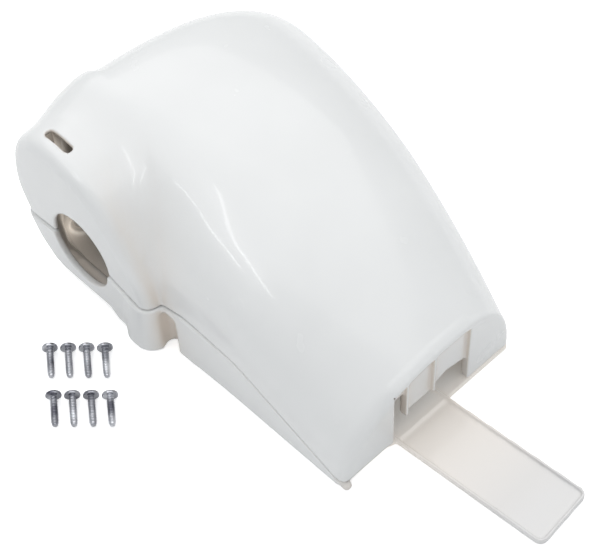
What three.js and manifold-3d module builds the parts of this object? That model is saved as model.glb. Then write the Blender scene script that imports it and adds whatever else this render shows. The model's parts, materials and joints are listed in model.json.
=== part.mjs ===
// Motorised drive head: a two-part moulded case round a worm and spur gear drive.
// Millimetres, +Z up. The case lies on its back cover (z = 0), the arm tongue points to -Y,
// and the output shaft runs along X, out of the round opening in the hub on the -X side.
// The origin is on the back face, in the middle of the tongue's root.
import * as THREE from 'three';
import { mergeVertices } from 'three/addons/utils/BufferGeometryUtils.js';
import Module from 'manifold-3d';

const wasm = await Module();
wasm.setup();

// ---------------------------------------------------------------- driving dimensions

const wall = 3; // moulded wall thickness
const gap = 0.3; // clearance between pieces that touch
const endY = 7.5; // end face over the arm channel
const farY = 287; // far end of the dome
const closeY = 220; // where the dome starts to close towards the far end
const sideX = -64; // straight side wall
const endHeight = 54.5; // dome height at the end face and at the far end
const farHeight = 126;
const endRight = 72; // reach of the flared +X side at the end face and at the far end
const farRight = 144;

const hubFaceX = -75; // flat face round the shaft opening
const hubInnerX = -22; // how far the hub's arch runs into the dome
const shaftY = 213.5; // output axis, parallel to X
const shaftZ = 44;
const shaftHoleR = 25;

const armYaw = 0.066; // the tongue splays a little away from the straight side
const tongueLeft = -21.5;
const tongueRight = 20.5;
const tongueEnd = -90.5;
const tongueHeight = 4.4;

const screwLength = 19; // cover screws, M4.8 pan head
const screwR = 2.4;
const screwHeadR = 4.75;
const screwHeadH = 3;

const wormZ = 34; // motor and worm axis, parallel to Y
const driveX = 8; // plane of the worm wheel
const gearX = -15; // plane of the pinion and the output gear
const wormPitchR = 7;
const wormWheelPitchR = 20;
const pinionTeeth = 12;
const outputTeeth = 42;
const gearModule = 1.5;
const wormWheelTeeth = 30;

const outputPitchR = (outputTeeth * gearModule) / 2;
const pinionPitchR = (pinionTeeth * gearModule) / 2;
const pinionZ = wormZ + wormPitchR + wormWheelPitchR;
const pinionY = shaftY - Math.sqrt((outputPitchR + pinionPitchR) ** 2 - (pinionZ - shaftZ) ** 2);

// ---------------------------------------------------------------- materials

const finish = (color, roughness, metalness) => () =>
  new THREE.MeshStandardMaterial({ color, roughness, metalness });
const whitePlastic = finish(0xeceded, 0.22, 0);
const greyPlastic = finish(0x8d9094, 0.5, 0);
const blackPlastic = finish(0x26272a, 0.5, 0);
const naturalNylon = finish(0xe4e0d2, 0.45, 0);
const zinc = finish(0xa9adb3, 0.35, 0.9);
const motorSteel = finish(0x8b9096, 0.4, 0.85);
const bronze = finish(0xa97b42, 0.4, 0.8);
const shaftSteel = finish(0xb9bdc2, 0.28, 0.95);
const redLead = finish(0xa8201c, 0.5, 0);
const blackLead = finish(0x1a1a1c, 0.5, 0);

// ---------------------------------------------------------------- solids

function toSolid(geometry) {
  const bare = geometry.clone();
  bare.deleteAttribute('normal');
  bare.deleteAttribute('uv');
  const merged = mergeVertices(bare, 1e-4);
  const positions = merged.getAttribute('position').array;
  const triangles = merged.index.array;
  return new wasm.Manifold(
    new wasm.Mesh({
      numProp: 3,
      vertProperties: new Float32Array(positions),
      triVerts: new Uint32Array(triangles),
    }),
  );
}

function toGeometry(solid) {
  const mesh = solid.getMesh();
  const geometry = new THREE.BufferGeometry();
  geometry.setAttribute('position', new THREE.BufferAttribute(mesh.vertProperties.slice(), 3));
  geometry.setIndex(new THREE.BufferAttribute(mesh.triVerts.slice(), 1));
  return geometry;
}

const unite = (solids) => solids.reduce((sum, solid) => sum.add(solid));
const cutAll = (solid, cutters) => cutters.reduce((rest, cutter) => rest.subtract(cutter), solid);

function box(x0, x1, y0, y1, z0, z1) {
  const geometry = new THREE.BoxGeometry(x1 - x0, y1 - y0, z1 - z0);
  geometry.translate((x0 + x1) / 2, (y0 + y1) / 2, (z0 + z1) / 2);
  return toSolid(geometry);
}

// A round bar from one point to another.
function bar(from, to, radius, sides = 24, endRadius = radius) {
  const start = new THREE.Vector3(...from);
  const end = new THREE.Vector3(...to);
  const along = end.clone().sub(start);
  const geometry = new THREE.CylinderGeometry(endRadius, radius, along.length(), sides);
  const up = new THREE.Vector3(0, 1, 0);
  geometry.applyQuaternion(new THREE.Quaternion().setFromUnitVectors(up, along.clone().normalize()));
  geometry.translate(...start.add(end).multiplyScalar(0.5).toArray());
  return toSolid(geometry);
}

const alongX = (x0, x1, y, z, radius, sides) => bar([x0, y, z], [x1, y, z], radius, sides);
const alongY = (y0, y1, x, z, radius, sides) => bar([x, y0, z], [x, y1, z], radius, sides);
const alongZ = (z0, z1, x, y, radius, sides) => bar([x, y, z0], [x, y, z1], radius, sides);

// A flat outline in the YZ plane, pushed along X from x0 to x1, with an optional rounded -X edge.
function plateX(outline, x0, x1, edge = 0) {
  const shape = new THREE.Shape(outline.map(([y, z]) => new THREE.Vector2(y, z)));
  const geometry = new THREE.ExtrudeGeometry(shape, {
    depth: x1 - x0 - 2 * edge,
    bevelEnabled: edge > 0,
    bevelSize: edge,
    bevelThickness: edge,
    bevelOffset: -edge,
    bevelSegments: 3,
    curveSegments: 12,
  });
  geometry.translate(0, 0, x0 + edge);
  // shape X -> Y, shape Y -> Z, depth -> X
  geometry.applyMatrix4(new THREE.Matrix4().set(0, 0, 1, 0, 1, 0, 0, 0, 0, 1, 0, 0, 0, 0, 0, 1));
  return toSolid(geometry);
}

// A flat outline in the XY plane, pushed up from z0 to z1.
function plateZ(outline, z0, z1) {
  const shape = new THREE.Shape(outline.map(([x, y]) => new THREE.Vector2(x, y)));
  const geometry = new THREE.ExtrudeGeometry(shape, { depth: z1 - z0, bevelEnabled: false });
  geometry.translate(0, 0, z0);
  return toSolid(geometry);
}

// Closed skin over a row of rings with the same number of points.
function loft(rings) {
  const count = rings[0].length;
  const positions = [];
  const index = [];
  rings.forEach((ring) => ring.forEach((point) => positions.push(...point)));
  for (let i = 0; i + 1 < rings.length; i++) {
    for (let j = 0; j < count; j++) {
      const a = i * count + j;
      const b = i * count + ((j + 1) % count);
      index.push(a, b + count, b, a, a + count, b + count);
    }
  }
  [0, rings.length - 1].forEach((row) => {
    const centre = positions.length / 3;
    const mean = [0, 1, 2].map((k) => rings[row].reduce((sum, p) => sum + p[k], 0) / count);
    positions.push(...mean);
    for (let j = 0; j < count; j++) {
      const a = row * count + j;
      const b = row * count + ((j + 1) % count);
      if (row === 0) index.push(centre, a, b);
      else index.push(centre, b, a);
    }
  });
  const geometry = new THREE.BufferGeometry();
  geometry.setAttribute('position', new THREE.Float32BufferAttribute(positions, 3));
  geometry.setIndex(index);
  return toSolid(geometry);
}

const circle = (cy, cz, radius, from, to, steps) =>
  Array.from({ length: steps + 1 }, (_, i) => {
    const angle = from + ((to - from) * i) / steps;
    return [cy + radius * Math.cos(angle), cz + radius * Math.sin(angle)];
  });

// ---------------------------------------------------------------- the case's outer form

// Parting line between the two covers, as height over y.
const partingPoints = [
  [-20, 3.2],
  [8, 3.2],
  [92, 35.6],
  [135, 38.6],
  [152, 34],
  [162, 34],
  [190, 42.4],
  [235, 42],
  [268, 40.5],
  [320, 40.5],
];

function partingHeight(y) {
  const next = partingPoints.findIndex(([py]) => py > y);
  const [y0, z0] = partingPoints[next - 1];
  const [y1, z1] = partingPoints[next];
  return z0 + ((z1 - z0) * (y - y0)) / (y1 - y0);
}

// Cross-section of the dome at y, shrunk by inset: a straight wall on the -X side up to the
// parting line, then two superellipse quarters that meet at the crown.
function domeRing(y, inset) {
  const s = (y - endY) / (farY - endY);
  const lift = Math.max(1 - 1.08 * s, 0);
  const closing = Math.max((y - closeY) / (farY - inset - closeY), 0);
  const k = (1 - Math.min(closing, 0.999) ** 2.9) ** (1 / 2.9);
  const crownX = 25 - 45 * s;
  const height = endHeight + (farHeight - endHeight) * (1 - lift ** 2) - inset;
  const right = endRight + (farRight - endRight) * (1 - lift ** 1.67) - inset;
  const left = sideX + inset;
  const floor = inset > 0 ? wall : 0;
  const shoulder = Math.max(partingHeight(y), floor + 0.5) * Math.min(1, 0.25 + k);
  const rightPower = 2.45 + 0.35 * Math.min(1, 2.5 * Math.max(s, 0));
  const ring = [];
  const steps = 8;
  for (let i = 0; i <= steps; i++) {
    const a = (Math.PI / 2) * (i / steps);
    const u = Math.cos(a) ** (2 / rightPower);
    const v = Math.sin(a) ** (2 / rightPower);
    ring.push([crownX + (right - crownX) * u * k, y, floor + (height * k - floor) * v]);
  }
  const leftPower = 2.2;
  for (let i = 1; i <= steps; i++) {
    const a = (Math.PI / 2) * (1 - i / steps);
    const u = Math.cos(a) ** (2 / leftPower);
    const v = Math.sin(a) ** (2 / leftPower);
    ring.push([crownX + (left - crownX) * u * k, y, shoulder + (height * k - shoulder) * v]);
  }
  ring.push([crownX + (left - crownX) * k, y, floor]);
  return ring;
}

function dome(inset, fromY) {
  const stations = [];
  const straight = 7;
  for (let i = 0; i < straight; i++) stations.push(fromY + ((closeY - fromY) * i) / straight);
  const round = 7;
  for (let i = 0; i <= round; i++) {
    const a = (Math.PI / 2) * (i / round);
    stations.push(closeY + (farY - inset - closeY) * 0.985 * Math.sin(a));
  }
  return loft(stations.map((y) => domeRing(y, inset)));
}

// Side view of the hub: an arch over the shaft opening, with a foot at its near end.
const hubArch = new THREE.SplineCurve(
  [
    [154.5, 30],
    [158, 52],
    [171, 74],
    [185, 93],
    [200, 104.5],
    [216, 110.5],
    [237, 113],
    [256, 107],
    [269, 90],
    [274, 63],
    [268, 41],
    [259, 22],
    [246, 8.5],
  ].map(([y, z]) => new THREE.Vector2(y, z)),
);
const hubFoot = [
  [236, 6],
  [194, 6],
  [187, 0],
  [158, 0],
  [154.5, 6],
];

// The hub's outline moved inwards by inset. It swells by grow, from 0 to 1, towards the dome.
function hubRing(x, inset, grow) {
  const outline = hubArch.getPoints(20).map((p) => [p.x, p.y]).concat(hubFoot);
  const count = outline.length;
  const floor = inset > wall - 1 ? wall : 0;
  return outline.map(([y, z], i) => {
    const [ya, za] = outline[(i + count - 1) % count];
    const [yb, zb] = outline[(i + 1) % count];
    const length = Math.hypot(yb - ya, zb - za);
    const inY = y + (inset * (zb - za)) / length;
    const inZ = Math.max(z - (inset * (yb - ya)) / length, floor);
    return [x, inY + 0.06 * grow * (inY - 195) * Math.min(1, inZ / 30), inZ * (1 + 0.085 * grow)];
  });
}

// Rounded at the face, then swelling into the dome's shoulder.
function hub(inset) {
  const face = hubFaceX + inset;
  return loft([
    hubRing(face, inset + 6, 0),
    hubRing(face + 1.8, inset + 1.8, 0),
    hubRing(face + 6, inset, 0),
    hubRing(face + 20, inset, 0.25),
    hubRing(hubInnerX, inset, 1),
  ]);
}

const footBulge = bar([-66.6, 170.5, 0], [-66.6, 170.5, 33], 12, 24, 8.3);
const outerForm = unite([dome(0, endY), hub(0), footBulge]);
const innerForm = dome(wall, endY - 2).add(hub(wall));

// Everything above the parting line, shifted up by offset.
function abovePlane(offset) {
  const outline = partingPoints.map(([y, z]) => [y, z + offset]);
  return plateX([...outline, [320, 200], [-20, 200]], -120, 200);
}

// Where the eight cover screws go, and how high their bosses stand.
const screwPlaces = [
  [-49, 24],
  [56, 24],
  [-55, 98],
  [92, 104],
  [-65, 170],
  [-44, 262],
  [114, 196],
  [62, 262],
];

// ---------------------------------------------------------------- back cover

// A tray with a low rim on its two long edges and its end.
function tongue() {
  const corner = 5;
  const outline = (inset, backY) => [
    [tongueRight - inset, backY],
    [tongueLeft + inset, backY],
    ...circle(tongueLeft + corner, tongueEnd + corner, corner - inset, Math.PI, 1.5 * Math.PI, 5),
    ...circle(tongueRight - corner, tongueEnd + corner, corner - inset, 1.5 * Math.PI, 2 * Math.PI, 5),
  ];
  const tray = plateZ(outline(0, 26), 0, tongueHeight);
  const hollow = plateZ(outline(1.6, 27), 2.2, tongueHeight + 1);
  return tray.subtract(hollow).rotate(0, 0, THREE.MathUtils.radToDeg(armYaw));
}

function backCover() {
  const shell = outerForm.subtract(innerForm).subtract(abovePlane(-gap / 2));
  const pads = screwPlaces.map(([x, y]) => alongZ(0, 6, x, y, 7.5, 12));
  const posts = bracketScrewPlaces.map(([x, y]) => alongZ(1, wall + 2, x, y, 5, 10));
  const cornerLug = alongZ(0, 2.8, sideX + 2.4, endY, 3.4, 16);
  const body = unite([
    shell,
    ...pads.map((pad) => pad.intersect(outerForm)),
    ...posts,
    cornerLug,
    tongue(),
  ]);
  return cutAll(body, [
    ...screwPlaces.map(([x, y]) => alongZ(-1, 7, x, y, 2.8, 8)),
    ...screwPlaces.map(([x, y]) => alongZ(-1, 2.8, x, y, 5.4, 12)),
    ...bracketScrewPlaces.map(([x, y]) => alongZ(-1, 8, x, y, 2, 8)),
    ...bracketScrewPlaces.map(([x, y]) => alongZ(-1, 1.6, x, y, 3.6, 8)),
    ...screwPlaces.map(([x, y]) => alongZ(6, 60, x, y, 4.6 + gap, 12)),
    alongX(hubFaceX - 5, hubFaceX + wall + 3, shaftY, shaftZ, shaftHoleR, 32),
  ]);
}

// ---------------------------------------------------------------- front cover

// Arm opening in the end wall, seen along Y: a high slot by the first rib, then two low bays.
const armOpening = [
  [-24, -5],
  [-24, 38],
  [-14.2, 38],
  [-14.2, 19],
  [7.4, 19],
  [9.4, 21],
  [21, 25],
  [37, 21.5],
  [37, -5],
];
const panelStep = 2.6; // the panel between the ribs sits this far back
const ribs = [
  [-13.2, 19],
  [8.4, 20.5],
  [38, 3.6],
];

// Slot through the top of the hub.
const slotX = -62.4;
const slotY0 = 224;
const slotY1 = 240.8;
const slotR = 2.6;

function plateY(outline, y0, y1) {
  const shape = new THREE.Shape(outline.map(([x, z]) => new THREE.Vector2(x, z)));
  const geometry = new THREE.ExtrudeGeometry(shape, { depth: y1 - y0, bevelEnabled: false });
  geometry.rotateX(Math.PI / 2);
  geometry.translate(0, y1, 0);
  return toSolid(geometry);
}

function frontCover() {
  const above = abovePlane(gap / 2);
  const shell = outerForm.subtract(innerForm).intersect(above);
  const endWall = box(-70, 80, endY, endY + wall, -1, 80)
    .subtract(box(-24, 37.5, endY - 1, endY + wall + 1, -2, 90));
  const panel = box(-24, 38.5, endY + panelStep, endY + panelStep + wall, -1, 80);
  const plates = ribs.map(([x, z]) => box(x - 1, x + 1, endY, endY + panelStep + 1, z, 80));
  const jamb = box(-26, -23.9, endY, endY + panelStep + 1, 3.6, 80);
  const wallParts = [
    unite([endWall, panel]).subtract(plateY(armOpening, endY - 3, endY + 12)),
    ...plates,
    jamb,
  ].map((piece) => piece.intersect(outerForm).intersect(above));
  const bosses = screwPlaces.map(([x, y]) =>
    alongZ(6 + gap, 140, x, y, 4.6, 12).intersect(outerForm),
  );
  const slot = [
    box(slotX - slotR, slotX + slotR, slotY0, slotY1, 95, 120),
    alongZ(95, 120, slotX, slotY0, slotR, 16),
    alongZ(95, 120, slotX, slotY1, slotR, 16),
  ];
  return cutAll(unite([shell, ...wallParts, ...bosses]), [
    ...screwPlaces.map(([x, y]) => alongZ(0, 26, x, y, 2, 8)),
    alongX(hubFaceX - 5, hubFaceX + wall + 3, shaftY, shaftZ, shaftHoleR, 32),
    ...slot,
  ]);
}

// ---------------------------------------------------------------- drive unit

const plateZ0 = wall + 2 + gap; // bracket plate over the back cover's posts
const plateZ1 = plateZ0 + 2;
const motorR = 22;
const motorY0 = 62;
const motorY1 = 149;
const caseX0 = -26; // gear case, closed at -X and open at +X
const caseX1 = 22;
const coverX1 = caseX1 + gap + wall;
const hubBoreR = 12.8; // grips a one-inch shaft
const hubR = 17;
const shaftR = 4;

function convexHull(points) {
  const sorted = [...points].sort((p, q) => p[0] - q[0] || p[1] - q[1]);
  const turn = (o, p, q) => (p[0] - o[0]) * (q[1] - o[1]) - (p[1] - o[1]) * (q[0] - o[0]);
  const half = (list) => {
    const chain = [];
    list.forEach((point) => {
      while (chain.length > 1 && turn(chain.at(-2), chain.at(-1), point) <= 0) chain.pop();
      chain.push(point);
    });
    return chain.slice(0, -1);
  };
  return [...half(sorted), ...half(sorted.reverse())];
}

// Outline round the output gear, the worm wheel and the worm.
const caseOutline = (inset) =>
  convexHull([
    ...circle(shaftY, shaftZ, 37 - inset, 0, 2 * Math.PI, 28),
    ...circle(pinionY, pinionZ, 26 - inset, 0, 2 * Math.PI, 20),
    ...circle(168, wormZ, 13 - inset, 0, 2 * Math.PI, 12),
  ]);

const caseCoverScrewPlaces = [
  [shaftY + 27, shaftZ + 27],
  [shaftY + 27, shaftZ - 27],
  [pinionY - 20, pinionZ + 18.5],
  [161, 22],
];
const footScrewPlaces = [
  [-31, 163],
  [28, 163],
];
const bracketScrewPlaces = [
  [-25, 146],
  [42, 146],
  [-25, 88],
  [42, 88],
];

function driveBracket() {
  const plate = box(-36, 50, 80, 172, plateZ0, plateZ1);
  const saddle = box(driveX - 20, driveX + 20, 92, 100, plateZ1 - 1, 24);
  return cutAll(plate.add(saddle), [
    alongY(80, 120, driveX, wormZ, motorR + gap, 32),
    ...bracketScrewPlaces.map(([x, y]) => alongZ(0, 12, x, y, 2.3, 12)),
    ...footScrewPlaces.map(([x, y]) => alongZ(0, 12, x, y, 2.3, 12)),
  ]);
}

function gearCase() {
  const body = unite([
    plateX(caseOutline(0), caseX0, caseX1),
    alongX(caseX0 - 6, caseX0 + 1, shaftY, shaftZ, 24, 32),
    alongX(caseX0 - 4, caseX0 + 1, pinionY, pinionZ, 10, 20),
    box(driveX - 19, driveX + 14, motorY1 + gap, 162, plateZ1 + gap, 54),
    box(-36, 34, 156, 170, plateZ1 + gap, plateZ1 + 4 + gap),
    ...caseCoverScrewPlaces.map(([y, z]) => alongX(caseX1 - 14, caseX1, y, z, 4.5, 16)),
  ]);
  return cutAll(body, [
    plateX(caseOutline(3), caseX0 + wall, caseX1 + 1),
    alongX(caseX0 - 9, caseX0 + 5, shaftY, shaftZ, 20 + gap, 32),
    alongX(caseX0 - 1.5, caseX0 + 5, pinionY, pinionZ, 7 + gap, 20),
    alongY(motorY1 - 2, 170, driveX, wormZ, 9.5, 24),
    ...caseCoverScrewPlaces.map(([y, z]) => alongX(caseX1 - 11, caseX1 + 1, y, z, 1.9, 10)),
    ...footScrewPlaces.map(([x, y]) => alongZ(0, 40, x, y, 2.3, 12)),
    ...footScrewPlaces.map(([x, y]) => alongZ(plateZ1 + 4 + gap, 40, x, y, 5, 12)),
  ]);
}

function gearCaseCover() {
  const x0 = caseX1 + gap;
  const body = unite([
    plateX(caseOutline(0), x0, coverX1),
    alongX(x0, coverX1 + 5, shaftY, shaftZ, 24, 32),
    alongX(x0, coverX1 + 4, pinionY, pinionZ, 10, 20),
    ...caseCoverScrewPlaces.map(([y, z]) => alongX(x0, coverX1, y, z, 4.5, 16)),
  ]);
  return cutAll(body, [
    alongX(x0 - 1, coverX1 + 9, shaftY, shaftZ, 20 + gap, 32),
    alongX(x0 - 1, coverX1 + 1.5, pinionY, pinionZ, 7 + gap, 20),
    ...caseCoverScrewPlaces.map(([y, z]) => alongX(x0 - 1, coverX1 + 1, y, z, 2.2, 12)),
  ]);
}

// Outline of a gear with slim straight-sided teeth; the first tooth points to +Y, turned by phase.
function gearOutline(cy, cz, teeth, pitchR, addendum, dedendum, phase) {
  const pitch = (2 * Math.PI) / teeth;
  const tip = pitchR + addendum;
  const root = pitchR - dedendum;
  const corners = [
    [-0.25, root],
    [-0.1, tip],
    [0.1, tip],
    [0.25, root],
  ];
  return Array.from({ length: teeth }, (_, i) =>
    corners.map(([part, radius]) => {
      const angle = phase + pitch * (i + part);
      return [cy + radius * Math.cos(angle), cz + radius * Math.sin(angle)];
    }),
  ).flat();
}

const ringX = (x0, x1, y, z, inner, outer, sides = 32) =>
  alongX(x0, x1, y, z, outer, sides).subtract(alongX(x0 - 1, x1 + 1, y, z, inner, sides));

// The line of centres from the output axis to the pinion axis sets how the two gears mesh.
const meshAngle = Math.atan2(pinionZ - shaftZ, pinionY - shaftY);
const pinionPhase = meshAngle + Math.PI + Math.PI / pinionTeeth;

function outputGear() {
  const outline = gearOutline(shaftY, shaftZ, outputTeeth, outputPitchR, 1.2, 1.8, meshAngle);
  return plateX(outline, gearX - 5, gearX + 5)
    .add(alongX(gearX + 4, gearX + 9, shaftY, shaftZ, 23, 32))
    .subtract(alongX(gearX - 9, gearX + 12, shaftY, shaftZ, hubR + gap, 32));
}

function outputHub() {
  return ringX(-50, coverX1 + 7, shaftY, shaftZ, hubBoreR, hubR)
    .subtract(box(-45, -41, shaftY - 3, shaftY + 3, shaftZ, shaftZ + 30));
}

function hubCollar() {
  return ringX(-49, -36, shaftY, shaftZ, hubR + gap, 23)
    .subtract(alongZ(shaftZ, shaftZ + 30, -43, shaftY, 2.2 + gap, 12));
}

function pinionShaft() {
  const teeth = gearOutline(pinionY, pinionZ, pinionTeeth, pinionPitchR, 1.2, 1.8, pinionPhase);
  return alongX(caseX0 - 1, coverX1 + 1, pinionY, pinionZ, shaftR, 20)
    .add(plateX(teeth, gearX - 6, gearX + 5.5));
}

function wormWheel() {
  const outline = gearOutline(pinionY, pinionZ, wormWheelTeeth, wormWheelPitchR, -0.7, 3, 0);
  return plateX(outline, driveX - 6, driveX + 6)
    .add(alongX(driveX + 5, driveX + 10, pinionY, pinionZ, 9, 24))
    .subtract(alongX(driveX - 9, driveX + 14, pinionY, pinionZ, shaftR + gap, 20));
}

// Shaft with a thread whose crest winds round it once in every lead.
function wormShaft() {
  const threadY0 = 163;
  const threadY1 = 193;
  const starts = 2;
  const lead = (starts * 2 * Math.PI * wormWheelPitchR) / wormWheelTeeth;
  const rings = 31;
  const sides = 12;
  const thread = loft(
    Array.from({ length: rings }, (_, i) => {
      const y = threadY0 + ((threadY1 - threadY0) * i) / (rings - 1);
      const taper = Math.min(1, i / 3, (rings - 1 - i) / 3);
      return Array.from({ length: sides }, (_, j) => {
        const angle = (2 * Math.PI * j) / sides;
        const wave = Math.cos(starts * (angle - (2 * Math.PI * y) / lead));
        const radius = 5.6 + taper * 0.9 * (1 + wave);
        return [driveX + radius * Math.cos(angle), y, wormZ + radius * Math.sin(angle)];
      });
    }),
  );
  return thread.add(alongY(motorY0 + 4, threadY1 + 2, driveX, wormZ, 3, 16));
}

function motorCan() {
  return alongY(motorY0, motorY1, driveX, wormZ, motorR, 28)
    .subtract(alongY(motorY0 - 1, motorY1 - 2, driveX, wormZ, motorR - 1.6, 28))
    .subtract(alongY(motorY1 - 3, motorY1 + 1, driveX, wormZ, 6, 20));
}

function motorEndCap() {
  const plate = alongY(motorY0 - 5, motorY0 - gap, driveX, wormZ, motorR, 28);
  const boss = alongY(motorY0 - 9, motorY0 - 4, driveX, wormZ, 8, 24);
  const tabs = [-1, 1].map((side) =>
    box(driveX + side * 13 - 1, driveX + side * 13 + 1, motorY0 - 10, motorY0 - 4, wormZ - 3, wormZ + 3),
  );
  const bore = alongY(motorY0 - 7, motorY0 + 4, driveX, wormZ, 3 + gap, 16);
  return unite([plate, boss, ...tabs]).subtract(bore);
}

// Curved magnet against the inside of the can, on one side of the armature.
function motorMagnet(side) {
  const half = 0.38 * Math.PI;
  const middle = side > 0 ? 0 : Math.PI;
  const outer = circle(driveX, wormZ, motorR - 1.6 - gap, middle - half, middle + half, 10);
  const inner = circle(driveX, wormZ, 15.6, middle + half, middle - half, 10);
  return plateY([...outer, ...inner], 74, 136);
}

function motorArmature() {
  return alongY(78, 132, driveX, wormZ, 14.6, 24)
    .subtract(alongY(70, 140, driveX, wormZ, 3 + gap, 16));
}

function terminalBlock() {
  const body = box(58, 86, 118, 134, wall + gap, 16);
  return cutAll(body, [-7, 7].map((dx) => alongY(110, 127, 72 + dx, 11, 1.6 + gap, 12)));
}

const leadRadius = 1.3;

function motorLead(side) {
  const startX = driveX + side * 13;
  const curve = new THREE.CatmullRomCurve3(
    [
      [startX, motorY0 - 11, wormZ],
      [startX + 2, motorY0 - 17, wormZ],
      [startX + 16 - 6 * side, motorY0 - 17 - 3 * side, wormZ - 5],
      [54 + 4 * side, 60, 20],
      [64 + 6 * side, 88, 11],
      [72 + 7 * side, 106, 11],
      [72 + 7 * side, 126, 11],
    ].map((p) => new THREE.Vector3(...p)),
  );
  const section = new THREE.Shape(circle(0, 0, leadRadius, 0, 2 * Math.PI, 6).slice(0, 6)
    .map(([x, y]) => new THREE.Vector2(x, y)));
  const geometry = new THREE.ExtrudeGeometry(section, { steps: 18, extrudePath: curve });
  return toSolid(geometry);
}

// ---------------------------------------------------------------- screws

// A pan-head screw with its point down and its head's underside at z = 0.
function panScrew(radius, length, headR, headH, sides = 10) {
  const profile = [
    [0, -length],
    [radius * 0.6, -length],
    [radius, -length + radius * 0.8],
    [radius, 0],
    [headR, 0],
    [headR, headH * 0.4],
    [headR * 0.6, headH],
    [0, headH],
  ].map(([r, h]) => new THREE.Vector2(r, h));
  const geometry = new THREE.LatheGeometry(profile, sides);
  geometry.rotateX(Math.PI / 2);
  return toSolid(geometry);
}

// ---------------------------------------------------------------- assembly

const parts = new THREE.Group();

function add(name, solid, material) {
  const mesh = new THREE.Mesh(toGeometry(solid), material());
  mesh.name = name;
  parts.add(mesh);
  return mesh;
}

add('back_cover', backCover(), whitePlastic);
add('front_cover', frontCover(), whitePlastic);

add('drive_bracket', driveBracket(), zinc);
bracketScrewPlaces.forEach(([x, y], i) => {
  add(`bracket_screw_${i + 1}`, panScrew(1.7, 6.5, 3.4, 2.2), zinc).position.set(x, y, plateZ1 + gap);
});
footScrewPlaces.forEach(([x, y], i) => {
  const seat = plateZ1 + 4 + 2 * gap;
  add(`foot_screw_${i + 1}`, panScrew(1.9, 8, 3.8, 2.4), zinc).position.set(x, y, seat);
});

add('motor_can', motorCan(), motorSteel);
add('motor_end_cap', motorEndCap(), blackPlastic);
add('motor_magnet_1', motorMagnet(1), blackPlastic);
add('motor_magnet_2', motorMagnet(-1), blackPlastic);
add('motor_armature', motorArmature(), bronze);
add('worm_shaft', wormShaft(), shaftSteel);
add('worm_bearing', alongY(motorY1 + 1, 156, driveX, wormZ, 9.2, 24)
  .subtract(alongY(140, 170, driveX, wormZ, 3 + gap, 16)), bronze);

add('gear_case', gearCase(), greyPlastic);
add('gear_case_cover', gearCaseCover(), greyPlastic);
caseCoverScrewPlaces.forEach(([y, z], i) => {
  const screw = add(`case_cover_screw_${i + 1}`, panScrew(1.6, 11, 3.6, 2.2), zinc);
  screw.rotation.y = Math.PI / 2;
  screw.position.set(coverX1 + gap, y, z);
});

add('pinion_shaft', pinionShaft(), shaftSteel);
add('worm_wheel', wormWheel(), bronze);
add('pinion_bush_1', ringX(caseX0 - 1.2, caseX0 + wall, pinionY, pinionZ, shaftR + gap, 7, 20), bronze);
add('pinion_bush_2', ringX(caseX1 + gap, coverX1 + 1.2, pinionY, pinionZ, shaftR + gap, 7, 20), bronze);

add('output_gear', outputGear(), naturalNylon);
add('output_hub', outputHub(), shaftSteel);
add('output_bush_1', ringX(caseX0 - 6, caseX0 + wall, shaftY, shaftZ, hubR + gap, 20), bronze);
add('output_bush_2', ringX(caseX1 + gap, coverX1 + 5, shaftY, shaftZ, hubR + gap, 20), bronze);
add('hub_collar', hubCollar(), zinc);
add('collar_screw', alongZ(shaftZ + 18, shaftZ + 24.5, -43, shaftY, 2.2, 12), shaftSteel);

add('terminal_block', terminalBlock(), blackPlastic);
add('motor_lead_1', motorLead(1), redLead);
add('motor_lead_2', motorLead(-1), blackLead);

// The eight cover screws are out, lying beside the hub in two rows, points towards -Y.
const screwRows = [
  [-119.4, 197],
  [-138.9, 168.3],
];
const screwStep = [7.7, -7.8];
const screwHeading = Math.atan2(18.5, 13.5); // from the point to the head
const screwDip = Math.asin((screwHeadR - screwR) / (screwLength - 2)); // lies on its rim and thread
screwRows.forEach(([x, y], row) => {
  for (let i = 0; i < 4; i++) {
    const screw = panScrew(screwR, screwLength, screwHeadR, screwHeadH, 12);
    const mesh = add(`cover_screw_${row * 4 + i + 1}`, screw, zinc);
    mesh.rotation.set(0, Math.PI / 2 - screwDip, screwHeading, 'ZYX');
    mesh.position.set(x + screwStep[0] * i, y + screwStep[1] * i, screwHeadR + 0.1);
  }
});

export default parts;
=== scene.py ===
"""Looks of the drive head: smooth moulded covers, threaded screws, gears and wiring, in a pale studio.

Lengths in the shape code are millimetres in the part's own frame; meshes are made in metres.
"""
import json
import math

import bpy
import numpy as np
from mathutils import Matrix, Vector


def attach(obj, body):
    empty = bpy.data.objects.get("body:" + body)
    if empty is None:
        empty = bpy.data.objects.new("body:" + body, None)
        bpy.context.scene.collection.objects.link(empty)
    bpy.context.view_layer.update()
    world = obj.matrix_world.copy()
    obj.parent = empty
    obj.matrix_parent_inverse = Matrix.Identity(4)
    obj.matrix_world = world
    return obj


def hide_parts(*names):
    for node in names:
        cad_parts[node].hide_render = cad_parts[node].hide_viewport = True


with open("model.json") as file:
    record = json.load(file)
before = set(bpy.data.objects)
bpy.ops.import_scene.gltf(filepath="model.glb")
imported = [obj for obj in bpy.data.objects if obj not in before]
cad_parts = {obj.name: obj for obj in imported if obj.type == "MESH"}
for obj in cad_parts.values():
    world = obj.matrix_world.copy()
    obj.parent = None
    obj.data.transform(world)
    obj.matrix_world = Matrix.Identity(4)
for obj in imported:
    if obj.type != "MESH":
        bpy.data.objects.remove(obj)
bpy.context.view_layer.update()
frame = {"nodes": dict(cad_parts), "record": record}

MM = 0.001
COARSEN = 1.0
# A cell of the covers' grid stays thinner than their wall, or the net would tear.
COVER_STEP = 1.0

# ------------------------------ the case's driving sizes

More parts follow.
